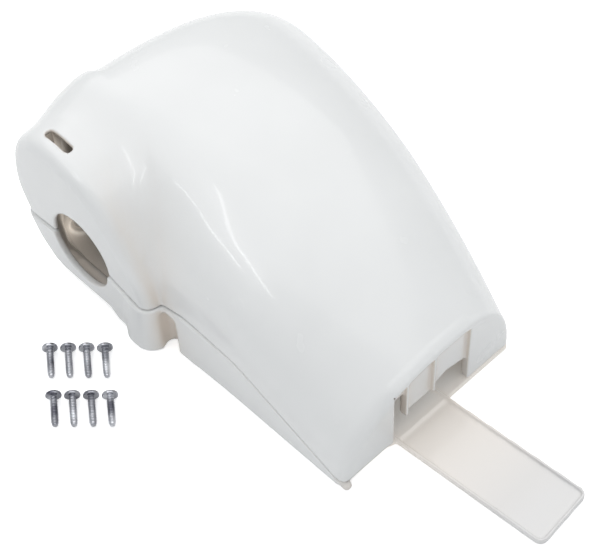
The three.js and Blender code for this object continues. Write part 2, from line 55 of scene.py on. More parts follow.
WALL = 3.0
END_Y = 7.5
FAR_Y = 287.0
CLOSE_Y = 220.0
SIDE_X = -64.0
END_HEIGHT, FAR_HEIGHT = 54.5, 126.0
END_RIGHT, FAR_RIGHT = 72.0, 144.0
HUB_FACE_X = -75.0
HUB_INNER_X = -22.0
SHAFT_Y, SHAFT_Z, SHAFT_HOLE_R = 213.5, 44.0, 25.0
ARM_YAW = 0.066
TONGUE_LEFT, TONGUE_RIGHT, TONGUE_END, TONGUE_HEIGHT = -21.5, 20.5, -90.5, 4.4
BOSS_R = 4.6
PANEL_STEP = 2.6
SLOT_X, SLOT_Y0, SLOT_Y1, SLOT_R = -62.4, 224.0, 240.8, 2.6
CORNER_LUG = (-60.9, 8.2, 3.0, 2.4)  # x, y, radius, height
FOOT_X, FOOT_Y0, FOOT_Y1 = -66.6, 164.5, 168.5
FOOT_TOP, FOOT_R, FOOT_NARROWING = 33, 12, 3.7
RECESS_CENTRE, RECESS_R, RECESS_TOP = (-64.2, 148.6), 6.2, 31
HUB_FACE_ROUND = 8.0
HUB_GROWTH_Y, HUB_GROWTH_Z, HUB_SEAT_Y = 0.06, 0.05, 195
# The smooth covers stay within these limits, and so inside the box of the faceted solids.
LIMIT_X, LIMIT_Y, LIMIT_Z = 141.1, 285.9, 124.2
SCREW_PLACES = [(-49, 24), (56, 24), (-55, 98), (92, 104), (-65, 170), (-44, 262), (114, 196), (62, 262)]
POST_PLACES = [(-25, 146), (42, 146), (-25, 88), (42, 88)]
PARTING = [(-20, 3.2), (8, 3.2), (92, 35.6), (135, 38.6), (152, 34), (162, 34), (190, 42.4),
           (235, 42), (268, 40.5), (320, 40.5)]
PARTING_GAP = 0.3
HUB_ARCH = [(154.5, 30), (158, 52), (171, 74), (185, 93), (200, 104.5), (216, 110.5), (237, 113),
            (256, 107), (269, 90), (274, 63), (268, 41), (259, 22), (246, 8.5)]
HUB_FOOT = [(236, 6), (194, 6), (187, 0), (158, 0), (154.5, 6)]
ARM_OPENING = [(-24, -5), (-24, 38), (-14.2, 38), (-14.2, 19), (7.4, 19), (9.4, 21), (21, 25),
               (37, 21.5), (37, -5)]
END_RIBS = [(-13.2, 19), (8.4, 20.5), (38, 3.6)]


# ------------------------------ distance fields

def meet(a, b, r=0.0):
    """Overlap of two fields, with their common edge rounded to radius r."""
    if np.isscalar(r) and r == 0:
        return np.maximum(a, b)
    return np.minimum(np.maximum(a, b), -r) + np.hypot(np.maximum(a + r, 0), np.maximum(b + r, 0))


def join(a, b, k=0.0):
    """Union of two fields, with a fillet of about k where they meet."""
    if np.isscalar(k) and k == 0:
        return np.minimum(a, b)
    h = np.maximum(k - np.abs(a - b), 0) / k
    return np.minimum(a, b) - h * h * k / 4


def cut(a, b, r=0.0):
    return meet(a, -b, r)


def slab(v, low, high):
    return np.maximum(low - v, v - high)


def block(x, y, z, low, high, r=0.0):
    dx, dy, dz = slab(x, low[0], high[0]), slab(y, low[1], high[1]), slab(z, low[2], high[2])
    return meet(meet(dx, dy, r), dz, r)


def disc(u, v, centre, r):
    return np.hypot(u - centre[0], v - centre[1]) - r


def smooth_step(t):
    t = np.clip(t, 0, 1)
    return t * t * (3 - 2 * t)


def outline_distance(points, u, v):
    """Signed distance to a closed outline, negative inside; u and v broadcast to a plane."""
    u, v = np.broadcast_arrays(u, v)
    nearest = np.full(u.shape, 1e9, np.float32)
    odd = np.zeros(u.shape, bool)
    for (au, av), (bu, bv) in zip(points, points[1:] + points[:1]):
        du, dv = bu - au, bv - av
        length = du * du + dv * dv
        if length == 0:
            continue
        t = np.clip(((u - au) * du + (v - av) * dv) / length, 0, 1)
        nearest = np.minimum(nearest, np.hypot(u - au - t * du, v - av - t * dv))
        if dv != 0:
            odd ^= ((av > v) != (bv > v)) & (u < du * (v - av) / dv + au)
    return np.where(odd, -nearest, nearest)


def catmull(points, per_span):
    """Open Catmull-Rom curve through the points."""
    p = np.array([points[0]] + points + [points[-1]], float)
    out = []
    for i in range(1, len(p) - 2):
        for t in np.arange(per_span) / per_span:
            a, b, c, d = p[i - 1], p[i], p[i + 1], p[i + 2]
            out.append(0.5 * (2 * b + (c - a) * t + (2 * a - 5 * b + 4 * c - d) * t * t
                              + (3 * b - a - 3 * c + d) * t ** 3))
    return [tuple(q) for q in out] + [tuple(points[-1])]


class Grid:
    def __init__(self, low, high, step):
        self.low = np.array(low, float)
        self.step = step
        counts = np.ceil((np.array(high) - self.low) / step).astype(int) + 1
        axes = [(self.low[i] + step * np.arange(counts[i])).astype(np.float32) for i in range(3)]
        self.x, self.y, self.z = axes[0][:, None, None], axes[1][None, :, None], axes[2][None, None, :]
        self.shape = tuple(counts)

    def patch(self, field, low, high, change):
        """Replaces the field inside a box by change(field, x, y, z)."""
        spans = []
        for i in range(3):
            first = max(int((low[i] - self.low[i]) / self.step) - 1, 0)
            last = int((high[i] - self.low[i]) / self.step) + 3
            spans.append(slice(first, max(last, 0)))
        a, b, c = spans
        field[a, b, c] = change(field[a, b, c], self.x[a], self.y[:, b], self.z[:, :, c])

    def fill(self, make):
        """The field that make gives, over the whole grid."""
        return np.ascontiguousarray(np.broadcast_to(make(self), self.shape)).astype(np.float32)


def as_distance(field, step):
    """A level-set field turned into distance near its surface."""
    slopes = np.gradient(field, step)
    steepness = np.sqrt(slopes[0] ** 2 + slopes[1] ** 2 + slopes[2] ** 2)
    return np.clip(field / np.maximum(steepness, 0.004), -60, 60)


def parting_height(y):
    """Height of the line where the covers meet, with its corners eased."""
    knots = np.array(PARTING, float)
    offsets = np.linspace(-4, 4, 9)
    heights = [np.interp(np.asarray(y) + d, knots[:, 0], knots[:, 1]) for d in offsets]
    return np.mean(heights, axis=0)


def dome_field(g):
    along = np.maximum((g.y - END_Y) / (FAR_Y - END_Y), -0.04)
    lift = np.maximum(1 - 1.08 * along, 0)
    crown = 25 - 45 * along
    height = END_HEIGHT + (FAR_HEIGHT - END_HEIGHT) * (1 - lift ** 2)
    right = END_RIGHT + (FAR_RIGHT - END_RIGHT) * (1 - lift ** 1.67)
    on_right = g.x > crown
    u = np.where(on_right, (g.x - crown) / (right - crown), (crown - g.x) / (crown - SIDE_X))
    power = np.where(on_right, 2.45 + 0.35 * np.clip(2.5 * along, 0, 1), 2.2)
    foot = np.where(on_right, 0, parting_height(g.y) * smooth_step(u * 1.15))
    v = np.maximum(g.z - foot, 0) / (height - foot)
    section = (u ** power + v ** power) ** (1 / power)
    closing = np.maximum((g.y - CLOSE_Y) / (FAR_Y - CLOSE_Y), 0)
    radius = (section ** 2.9 + closing ** 2.9) ** (1 / 2.9)
    return as_distance((radius - 1).astype(np.float32), g.step)


def hub_field(g):
    """The arch over the shaft opening: its side view, swelling a little towards the dome."""
    outline = catmull(HUB_ARCH, 8) + HUB_FOOT
    fine = 1.0
    ys = np.arange(120, 310, fine)
    zs = np.arange(-20, 150, fine)
    side = outline_distance(outline, ys[:, None], zs[None, :])
    grow = np.interp(g.x, [HUB_FACE_X + 6, HUB_FACE_X + 20, HUB_INNER_X], [0, 0.25, 1])
    swell = HUB_GROWTH_Y * grow * np.clip(g.z / 30, 0, 1)
    iy = np.clip(((g.y + swell * HUB_SEAT_Y) / (1 + swell) - ys[0]) / fine, 0, len(ys) - 2)
    iz = np.clip((g.z / (1 + HUB_GROWTH_Z * grow) - zs[0]) / fine, 0, len(zs) - 2)
    iy, iz = np.broadcast_arrays(iy, iz)
    j, k = iy.astype(int), iz.astype(int)
    fy, fz = iy - j, iz - k
    value = (side[j, k] * (1 - fy) * (1 - fz) + side[j + 1, k] * fy * (1 - fz)
             + side[j, k + 1] * (1 - fy) * fz + side[j + 1, k + 1] * fy * fz)
    return meet(value, HUB_FACE_X - g.x, HUB_FACE_ROUND)


def body_field(g):
    """The closed case before it is cut open: dome, hub, the hub's foot and the recess beside it."""
    field = dome_field(g)
    hub = np.maximum(hub_field(g), g.x - HUB_INNER_X)
    # The fillet between hub and dome is tight low down, wider up the flank and widest at the back.
    near = 3 + 9 * smooth_step((g.z - 34) / 40) * (1 - 0.5 * smooth_step((g.z - 92) / 20))
    far = smooth_step((g.y - 238) / 18)
    field = join(field, hub, near + (15 - near) * far)
    taper = FOOT_R - FOOT_NARROWING * np.clip(g.z / FOOT_TOP, 0, 1)
    from_foot = np.hypot(g.x - FOOT_X, g.y - np.clip(g.y, FOOT_Y0, FOOT_Y1))
    field = join(field, np.maximum(from_foot - taper, g.z - FOOT_TOP), 2.5)
    recess = meet(disc(g.x, g.y, RECESS_CENTRE, RECESS_R), g.z - RECESS_TOP, 3.0)
    return meet(cut(field, recess, 1.0), g.z - LIMIT_Z, 2.0)


# ------------------------------ surface from a field

def surface_net(field, g):
    """Vertices and outward quads on the zero level of a field."""
    inside = field < 0
    cell_shape = tuple(n - 1 for n in field.shape)
    corners = [(i, j, k) for i in (0, 1) for j in (0, 1) for k in (0, 1)]

    def at(array, offset):
        return array[tuple(slice(o, o + n) for o, n in zip(offset, cell_shape))]

    filled = sum(at(inside, c).astype(np.int8) for c in corners)
    active = (filled > 0) & (filled < 8)
    cells = np.argwhere(active)
    index = np.full(cell_shape, -1, np.int32)
    index[active] = np.arange(len(cells))
    total = np.zeros((len(cells), 3))
    hits = np.zeros(len(cells))
    for a in corners:
        for axis in range(3):
            if a[axis]:
                continue
            b = tuple(1 if i == axis else a[i] for i in range(3))
            fa = field[tuple((cells + a).T)]
            fb = field[tuple((cells + b).T)]
            crossed = (fa < 0) != (fb < 0)
            t = np.where(crossed, fa / np.where(crossed, fa - fb, 1), 0)
            point = np.repeat(np.array([a], float), len(cells), axis=0)
            point[:, axis] = t
            total += point * crossed[:, None]
            hits += crossed
    verts = g.low + g.step * (cells + total / hits[:, None])
    quads = []
    for axis in range(3):
        u, v = (axis + 1) % 3, (axis + 2) % 3
        lower = np.take(inside, range(field.shape[axis] - 1), axis)
        upper = np.take(inside, range(1, field.shape[axis]), axis)
        edges = np.argwhere(lower != upper)
        keep = (edges[:, u] > 0) & (edges[:, v] > 0)
        keep &= (edges[:, u] < field.shape[u] - 1) & (edges[:, v] < field.shape[v] - 1)
        edges = edges[keep]
        starts = lower[tuple(edges.T)]
        ring = []
        for du, dv in ((1, 1), (0, 1), (0, 0), (1, 0)):
            cell = edges.copy()
            cell[:, u] -= du
            cell[:, v] -= dv
            ring.append(index[tuple(cell.T)])
        ring = np.stack(ring, 1)
        quads.append(np.where(starts[:, None], ring, ring[:, ::-1]))
    return verts, np.concatenate(quads)


def sample(field, g, points):
    """The field and its slope at the points, by linear interpolation."""
    where = (points - g.low) / g.step
    base = np.clip(where.astype(int), 0, np.array(field.shape) - 2)
    t = where - base
    value = np.zeros(len(points))
    slope = np.zeros((len(points), 3))
    for i in (0, 1):
        for j in (0, 1):
            for k in (0, 1):
                f = field[base[:, 0] + i, base[:, 1] + j, base[:, 2] + k]
                w = [t[:, a] if o else 1 - t[:, a] for a, o in enumerate((i, j, k))]
                value += f * w[0] * w[1] * w[2]
                slope[:, 0] += f * (2 * i - 1) * w[1] * w[2]
                slope[:, 1] += f * w[0] * (2 * j - 1) * w[2]
                slope[:, 2] += f * w[0] * w[1] * (2 * k - 1)
    return value, slope / g.step


def relax(verts, quads, field, g, rounds=3):
    """Evens out the net, keeping it on the surface."""
    edges = np.concatenate([quads[:, [i, (i + 1) % 4]] for i in range(4)])
    a, b = edges[:, 0], edges[:, 1]
    degree = np.bincount(a, minlength=len(verts)) + np.bincount(b, minlength=len(verts))
    for _ in range(rounds):
        sums = [np.bincount(a, verts[b, i], len(verts)) + np.bincount(b, verts[a, i], len(verts))
                for i in range(3)]
        mean = np.stack(sums, 1) / degree[:, None]
        verts = 0.5 * verts + 0.5 * mean
        value, slope = sample(field, g, verts)
        size = np.maximum((slope ** 2).sum(1), 0.25)
        verts = verts - 0.9 * slope * (value / size)[:, None]
    return verts


def mesh_from(name, verts, quads, material):
    verts, quads = np.asarray(verts) * MM, np.asarray(quads)
    mesh = bpy.data.meshes.new(name)
    mesh.vertices.add(len(verts))
    mesh.vertices.foreach_set("co", verts.astype(np.float32).ravel())
    mesh.loops.add(quads.size)
    mesh.loops.foreach_set("vertex_index", quads.astype(np.int32).ravel())
    mesh.polygons.add(len(quads))
    mesh.polygons.foreach_set("loop_start", np.arange(0, quads.size, 4, dtype=np.int32))
    mesh.update(calc_edges=True)
    mesh.polygons.foreach_set("use_smooth", [True] * len(quads))
    mesh.materials.append(material)
    piece = bpy.data.objects.new(name, mesh)
    bpy.context.collection.objects.link(piece)
    return piece


def piece_from_field(name, field, g, material):
    verts, quads = surface_net(field, g)
    verts = relax(verts, quads, field, g)
    verts[:, 2] = np.maximum(verts[:, 2], 0)
    return mesh_from(name, verts, quads, material)


# ------------------------------ covers

def cover_shell(g, body, side):
    """One cover: side is 1 above the parting line and -1 below it, where it stands proud.

    Returns the closed body, the open wall and the distance past the parting line.
    """
    along = smooth_step((g.y - 95) / 50)
    proud = 0.2 + 1.2 * along if side < 0 else 0.0
    end_round = 1.2 + 5.5 * smooth_step((-18 - g.x) / 12)
    closed = meet(body - proud, -g.z, 1.5)
    closed = meet(closed, END_Y - (0.7 if side < 0 else 0) - g.y, end_round)
    closed = np.maximum(np.maximum(closed, g.y - LIMIT_Y), g.x - LIMIT_X)
    hollow = meet(body + WALL, WALL - g.z, 1.5)
    line = parting_height(g.y)
    slope = np.gradient(line, g.step, axis=1)
    beyond = side * (line - g.z) / np.sqrt(1 + slope ** 2) + PARTING_GAP * (0.2 + 1.0 * along)
    return closed, meet(cut(closed, hollow), beyond, 0.2 + 0.3 * along), beyond


def bore_hub(field, g):
    low = (HUB_FACE_X - 6, SHAFT_Y - 30, SHAFT_Z - 30)
    high = (HUB_FACE_X + 9, SHAFT_Y + 30, SHAFT_Z + 30)
    g.patch(field, low, high,
            lambda f, x, y, z: cut(f, disc(y, z, (SHAFT_Y, SHAFT_Z), SHAFT_HOLE_R), 0.9))


def front_cover(material):
    g = Grid((-80, 3, -1), (148, 291, 130), COVER_STEP)
    body = body_field(g)
    closed, field, beyond = cover_shell(g, body, 1)

    opening = outline_distance(ARM_OPENING, g.x[:, 0], g.z[0])[:, None, :]
    end_low, end_high = (-76, END_Y - 3, -1), (90, END_Y + 9, 80)

    def end_wall(f, x, y, z):
        wall = np.maximum(slab(y, END_Y, END_Y + WALL), -slab(x, -24, 37.5))
        panel = np.maximum(slab(y, END_Y + PANEL_STEP, END_Y + PANEL_STEP + WALL), slab(x, -24.5, 38.5))
        return np.minimum(wall, panel)

    wall = np.full(g.shape, 50, np.float32)
    g.patch(wall, end_low, end_high, end_wall)
    wall = cut(wall, opening, 0.5)
    for rib_x, rib_z in END_RIBS:
        g.patch(wall, (rib_x - 4, END_Y - 2, rib_z - 3), (rib_x + 4, END_Y + 9, 80),
                lambda f, x, y, z: join(f, block(x, y, z, (rib_x - 1, END_Y, rib_z),
                                                 (rib_x + 1, END_Y + PANEL_STEP + 1, 90), 0.3), 0.8))
    g.patch(wall, (-29, END_Y - 2, 0), (-21, END_Y + 9, 80),
            lambda f, x, y, z: join(f, block(x, y, z, (-26, END_Y, 3.6),
                                             (-23.9, END_Y + PANEL_STEP + 1, 90), 0.3), 0.8))
    wall = meet(meet(wall, closed, 0.3), beyond, 0.5)
    field = join(field, wall, 0.8)

    for px, py in SCREW_PLACES:
        g.patch(field, (px - 10, py - 10, 3), (px + 10, py + 10, 130), boss_adder(px, py, closed, g))
    bore_hub(field, g)
    slot_middle, slot_half = (SLOT_Y0 + SLOT_Y1) / 2, (SLOT_Y1 - SLOT_Y0) / 2

    def pierce(f, x, y, z):
        past_end = np.maximum(np.abs(y - slot_middle) - slot_half, 0)
        return cut(f, np.hypot(x - SLOT_X, past_end) - SLOT_R, 0.8)

    g.patch(field, (SLOT_X - 8, SLOT_Y0 - 8, 95), (SLOT_X + 8, SLOT_Y1 + 8, 126), pierce)
    return piece_from_field("front_cover_shell", field, g, material)


def boss_adder(px, py, closed, g):
    """Adds a screw boss with its pilot hole, kept inside the cover."""
    def change(f, x, y, z):
        boss = meet(disc(x, y, (px, py), BOSS_R), 6.3 - z, 0.4)
        a = int(round((float(x.flat[0]) - g.low[0]) / g.step))
        b = int(round((float(y.flat[0]) - g.low[1]) / g.step))
        c = int(round((float(z.flat[0]) - g.low[2]) / g.step))
        here = closed[a:a + x.size, b:b + y.size, c:c + z.size]
        boss = np.maximum(boss, here + 0.5)
        pilot = np.maximum(disc(x, y, (px, py), 2.0), z - 26)
        return cut(join(f, boss, 1.5), pilot, 0.4)
    return change


def tongue_field(g):
    """The flat arm: a shallow tray with a thin rim, turned a little to one side."""
    c, s = math.cos(ARM_YAW), math.sin(ARM_YAW)
    x, y = g.x * c + g.y * s, g.y * c - g.x * s
    outline = meet(slab(x, TONGUE_LEFT, TONGUE_RIGHT), slab(y, TONGUE_END, 26.0), 5.0)
    open_back = meet(slab(x, TONGUE_LEFT, TONGUE_RIGHT), slab(y, TONGUE_END, 60.0), 5.0)
    tray = meet(outline, slab(g.z, 0, TONGUE_HEIGHT), 0.5)
    return cut(tray, meet(open_back + 1.6, 2.2 - g.z, 1.0), 0.3)


def back_cover(material):
    g = Grid((-84, -95, -2), (148, 291, 46), COVER_STEP)
    body = body_field(g)
    _, field, _ = cover_shell(g, body, -1)
    for px, py in SCREW_PLACES:
        g.patch(field, (px - 11, py - 11, -2), (px + 11, py + 11, 9),
                lambda f, x, y, z: join(f, meet(disc(x, y, (px, py), 7.5), slab(z, 0.5, 6.0), 0.5), 1.2))
    for px, py in POST_PLACES:
        g.patch(field, (px - 9, py - 9, -2), (px + 9, py + 9, 8),
                lambda f, x, y, z: join(f, meet(disc(x, y, (px, py), 5.0), slab(z, 0.5, 5.0), 0.4), 1.2))
    field = np.where(g.y > END_Y - 2, field, 50)
    field = join(field, tongue_field(g), 0.6)
    lug_x, lug_y, lug_r, lug_z = CORNER_LUG
    lug = meet(disc(g.x, g.y, (lug_x, lug_y), lug_r), slab(g.z, 0, lug_z), 0.8)
    field = join(field, lug, 0.6)
    for px, py in SCREW_PLACES:
        def drill(f, x, y, z):
            hole = disc(x, y, (px, py), 2.8)
            seat = np.maximum(disc(x, y, (px, py), 5.4), z - 2.8)
            pocket = np.maximum(disc(x, y, (px, py), BOSS_R + 0.4), 6.0 - z)
            return cut(np.maximum(f, -np.minimum(hole, pocket)), seat, 0.4)
        g.patch(field, (px - 9, py - 9, -2), (px + 9, py + 9, 46), drill)
    for px, py in POST_PLACES:
        g.patch(field, (px - 7, py - 7, -2), (px + 7, py + 7, 9),
                lambda f, x, y, z: cut(f, disc(x, y, (px, py), 2.0), 0.3))
    bore_hub(field, g)
    return piece_from_field("back_cover_shell", field.astype(np.float32), g, material)


# ------------------------------ screws and drive pieces

PLATE_Z0, PLATE_Z1 = 5.3, 7.3
MOTOR_R, MOTOR_Y0, MOTOR_Y1 = 22.0, 62.0, 149.0
DRIVE_X, WORM_Z = 8.0, 34.0
CASE_X0, CASE_X1, CASE_COVER_X0, CASE_COVER_X1 = -26.0, 22.0, 22.3, 25.3
HUB_BORE_R, HUB_R, PINION_SHAFT_R = 12.8, 17.0, 4.0
GEAR_X, PINION_Z = -15.0, 61.0
OUTPUT_PITCH_R, PINION_PITCH_R, WHEEL_PITCH_R = 31.5, 9.0, 20.0
OUTPUT_TEETH, PINION_TEETH, WHEEL_TEETH, WORM_STARTS = 42, 12, 30, 2
PINION_Y = SHAFT_Y - math.sqrt((OUTPUT_PITCH_R + PINION_PITCH_R) ** 2 - (PINION_Z - SHAFT_Z) ** 2)
MESH_ANGLE = math.atan2(PINION_Z - SHAFT_Z, PINION_Y - SHAFT_Y)
CASE_SCREW_PLACES = [(SHAFT_Y + 27, SHAFT_Z + 27), (SHAFT_Y + 27, SHAFT_Z - 27),
                     (PINION_Y - 20, PINION_Z + 18.5), (161, 22)]
FOOT_PLACES = [(-31, 163), (28, 163)]
# Each screw's radius, length, head radius and head height.
COVER_SCREW, BRACKET_SCREW = (2.4, 19.0, 4.75, 3.0), (1.7, 6.5, 3.4, 2.2)
FOOT_SCREW, CASE_SCREW = (1.9, 8.0, 3.8, 2.4), (1.6, 11.0, 3.6, 2.2)
LOOSE_ROWS, LOOSE_STEP, LOOSE_HEADING = [(-119.4, 197), (-138.9, 168.3)], (7.7, -7.8), (13.5, 18.5)
TERMINAL_X, TERMINAL_PITCH, TERMINAL_Z = 72, 7, 11
LEAD_R = 1.25


def shape(name, low, high, step, make, material, body, node, slot):
    """Makes a piece from make(grid) and puts it in the place of one CAD node."""
    g = Grid(low, high, step * COARSEN)
    enlist(piece_from_field(name, g.fill(make), g, material), body, node, slot)


def enlist(piece, body, node, slot):
    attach(piece, body)
    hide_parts(node)


def tube(radial, along, inner, outer, start, end, edge=0.5):
    """A ring or, with inner 0, a round bar, from its distance to the axis and the place along it."""
    ring = meet(radial - outer, slab(along, start, end), edge)
    return ring if inner == 0 else cut(ring, radial - inner, edge)


def screw_mesh(name, radius, length, head_r, head_h, step, material):
    """Pan-head screw with a cross recess and a helical thread; underside of the head at z = 0."""
    def make(g):
        radial = np.hypot(g.x, g.y)
        dome = head_h * (0.4 + 0.6 * np.sqrt(np.clip(1 - (radial / head_r) ** 2, 0, 1)))
        head = meet(meet(radial - head_r, g.z - dome, 0.3), -g.z, 0.2)
        arm, reach = 0.13 * head_r, 0.56 * head_r
        floor, above = head_h * 0.35, 2 * head_h
        recess = np.minimum(block(g.x, g.y, g.z, (-arm, -reach, floor), (arm, reach, above)),
                            block(g.x, g.y, g.z, (-reach, -arm, floor), (reach, arm, above)))
        recess = np.minimum(recess, np.maximum(radial - 0.27 * head_r, head_h * 0.25 - g.z))
        pitch = 0.7 * radius
        turn = np.mod(g.z / pitch - np.arctan2(g.y, g.x) / (2 * np.pi), 1)
        ridge = np.maximum(1 - np.abs(turn - 0.5) * 3.4, 0)
        threaded = smooth_step((-0.6 - g.z) / 0.6)
        end_taper = np.clip((g.z + length) / (0.9 * radius), 0, 1)
        core = radius * (0.62 + 0.16 * end_taper)
        shank = radial - core - threaded * end_taper * 0.22 * radius * ridge
        shank = meet(shank, slab(g.z, -length, 0.5), 0.2)
        return cut(np.minimum(head, shank), recess, 0.15)

    edge = head_r + 0.6
    g = Grid((-edge, -edge, -length - 0.6), (edge, edge, head_h + 0.6), step * COARSEN)
    field = g.fill(make)
    verts, quads = surface_net(field, g)
    piece = mesh_from(name, relax(verts, quads, field, g, 2), quads, material)
    mesh = piece.data
    bpy.data.objects.remove(piece)
    return mesh


def place_screw(pattern, node, body, spot, turn, roll):
    """A copy of the pattern, turned and moved in its own mesh, in the place of one CAD node."""
    mesh = pattern.copy()
    mesh.transform(Matrix.Translation(Vector(spot) * MM) @ turn @ Matrix.Rotation(roll, 4, "Z"))
    piece = bpy.data.objects.new(node + "_shape", mesh)
    bpy.context.collection.objects.link(piece)
    enlist(piece, body, node, "zinc")


def all_screws(material):
    upright = Matrix.Identity(4)
    sideways = Matrix.Rotation(math.pi / 2, 4, "Y")
    loose = screw_mesh("cover_screw_mesh", *COVER_SCREW, 0.3, material)
    radius, length, head_r, _ = COVER_SCREW
    dip = math.asin((head_r - radius) / (length - 2))
    heading = math.atan2(LOOSE_HEADING[1], LOOSE_HEADING[0])
    lie = Matrix.Rotation(heading, 4, "Z") @ Matrix.Rotation(math.pi / 2 - dip, 4, "Y")
    for row, (x, y) in enumerate(LOOSE_ROWS):
        for i in range(4):
            number = row * 4 + i
            spot = (x + LOOSE_STEP[0] * i, y + LOOSE_STEP[1] * i, head_r + 0.25)
            place_screw(loose, f"cover_screw_{number + 1}", "cover_screws", spot, lie, 0.7 * number)
    small = screw_mesh("bracket_screw_mesh", *BRACKET_SCREW, 0.3, material)
    for i, (x, y) in enumerate(POST_PLACES):
        place_screw(small, f"bracket_screw_{i + 1}", "base", (x, y, PLATE_Z1 + 0.3), upright, 0.9 * i)
    foot = screw_mesh("foot_screw_mesh", *FOOT_SCREW, 0.3, material)
    for i, (x, y) in enumerate(FOOT_PLACES):
        place_screw(foot, f"foot_screw_{i + 1}", "base", (x, y, PLATE_Z1 + 4.6), upright, 0.5 + i)
    case = screw_mesh("case_screw_mesh", *CASE_SCREW, 0.3, material)
    for i, (y, z) in enumerate(CASE_SCREW_PLACES):
        spot = (CASE_COVER_X1 + 0.3, y, z)
        place_screw(case, f"case_cover_screw_{i + 1}", "base", spot, sideways, 1.1 * i)


def ring_points(cy, cz, r, count):
    angles = [2 * math.pi * i / count for i in range(count)]
    return [(cy + r * math.cos(angle), cz + r * math.sin(angle)) for angle in angles]


def convex_hull(points):
    points = sorted(points)

    def chain(ordered):
        out = []
        for p in ordered:
            while len(out) > 1 and ((out[-1][0] - out[-2][0]) * (p[1] - out[-2][1])
                                    - (out[-1][1] - out[-2][1]) * (p[0] - out[-2][0])) <= 0:
                out.pop()
            out.append(p)
        return out[:-1]

    return chain(points) + chain(points[::-1])


def case_outline(g):
    hull = convex_hull(ring_points(SHAFT_Y, SHAFT_Z, 37, 64) + ring_points(PINION_Y, PINION_Z, 26, 48)
                       + ring_points(168, WORM_Z, 13, 32))
    return outline_distance(hull, g.y[0], g.z[0])[None]


def gear_case_field(g):
    outline = case_outline(g)
    from_shaft = np.hypot(g.y - SHAFT_Y, g.z - SHAFT_Z)
    from_pinion = np.hypot(g.y - PINION_Y, g.z - PINION_Z)
    from_worm = np.hypot(g.x - DRIVE_X, g.z - WORM_Z)
    solid = meet(outline, slab(g.x, CASE_X0, CASE_X1), 1.2)
    solid = join(solid, tube(from_shaft, g.x, 0, 24, CASE_X0 - 6, CASE_X0 + 1, 0.8), 1.5)
    solid = join(solid, tube(from_pinion, g.x, 0, 10, CASE_X0 - 4, CASE_X0 + 1, 0.8), 1.5)
    solid = join(solid, block(g.x, g.y, g.z, (DRIVE_X - 19, MOTOR_Y1 + 0.3, PLATE_Z1 + 0.3),
                              (DRIVE_X + 14, 162, 54), 1.2), 1.5)
    solid = join(solid, block(g.x, g.y, g.z, (-36, 156, PLATE_Z1 + 0.3),
                              (34, 170, PLATE_Z1 + 4.3), 0.8), 1.5)
    for turn in range(5):  # stiffening ribs round the output bearing
        angle = 0.35 + turn * 1.1
        across = (g.y - SHAFT_Y) * math.sin(angle) - (g.z - SHAFT_Z) * math.cos(angle)
        along = (g.y - SHAFT_Y) * math.cos(angle) + (g.z - SHAFT_Z) * math.sin(angle)
        rib = np.maximum(np.abs(across) - 0.9, slab(along, 20, 33))
        solid = join(solid, np.maximum(rib, slab(g.x, CASE_X0 - 2.4, CASE_X0 + 1)), 1.2)
    hollow = np.maximum(outline + 3, CASE_X0 + WALL - g.x)
    for y, z in CASE_SCREW_PLACES:
        post = tube(np.hypot(g.y - y, g.z - z), g.x, 0, 4.5, CASE_X1 - 14, CASE_X1, 0.4)
        solid = join(solid, post, 1.0)
    solid = cut(solid, hollow, 0.4)
    solid = cut(solid, np.maximum(from_shaft - 20.3, g.x - CASE_X0 - 5), 0.4)
    solid = cut(solid, np.maximum(from_pinion - 7.3, slab(g.x, CASE_X0 - 1.5, CASE_X0 + 5)), 0.3)
    solid = cut(solid, np.maximum(from_worm - 9.5, slab(g.y, MOTOR_Y1 - 2, 170)), 0.3)
    for y, z in CASE_SCREW_PLACES:
        solid = cut(solid, np.maximum(np.hypot(g.y - y, g.z - z) - 1.9, CASE_X1 - 11 - g.x), 0.2)
    for x, y in FOOT_PLACES:
        solid = cut(solid, np.hypot(g.x - x, g.y - y) - 2.3, 0.2)
        solid = cut(solid, np.maximum(np.hypot(g.x - x, g.y - y) - 5, PLATE_Z1 + 4.3 - g.z), 0.2)
    return solid


def case_cover_field(g):
    from_shaft = np.hypot(g.y - SHAFT_Y, g.z - SHAFT_Z)
    from_pinion = np.hypot(g.y - PINION_Y, g.z - PINION_Z)
    solid = meet(case_outline(g), slab(g.x, CASE_COVER_X0, CASE_COVER_X1), 0.7)
    solid = join(solid, tube(from_shaft, g.x, 0, 24, CASE_COVER_X0, CASE_COVER_X1 + 5, 0.8), 1.5)
    solid = join(solid, tube(from_pinion, g.x, 0, 10, CASE_COVER_X0, CASE_COVER_X1 + 4, 0.8), 1.5)
    for y, z in CASE_SCREW_PLACES:
        post = tube(np.hypot(g.y - y, g.z - z), g.x, 0, 4.5, CASE_COVER_X0, CASE_COVER_X1, 0.5)
        solid = join(solid, post, 0.8)
    solid = cut(solid, from_shaft - 20.3, 0.4)
    solid = cut(solid, np.maximum(from_pinion - 7.3, g.x - CASE_COVER_X1 - 1.5), 0.3)
    for y, z in CASE_SCREW_PLACES:
        solid = cut(solid, np.hypot(g.y - y, g.z - z) - 2.2, 0.2)
    return solid


def gear_outline(cy, cz, teeth, pitch_r, phase, addendum=1.2, dedendum=1.8):
    pitch = 2 * math.pi / teeth
    tip, root = pitch_r + addendum, pitch_r - dedendum
    corners = [(-0.25, root), (-0.17, (root + tip) / 2 + 0.1), (-0.1, tip), (0.1, tip),
               (0.17, (root + tip) / 2 + 0.1), (0.25, root)]
    turns = [(phase + pitch * (i + part), r) for i in range(teeth) for part, r in corners]
    return [(cy + r * math.cos(angle), cz + r * math.sin(angle)) for angle, r in turns]


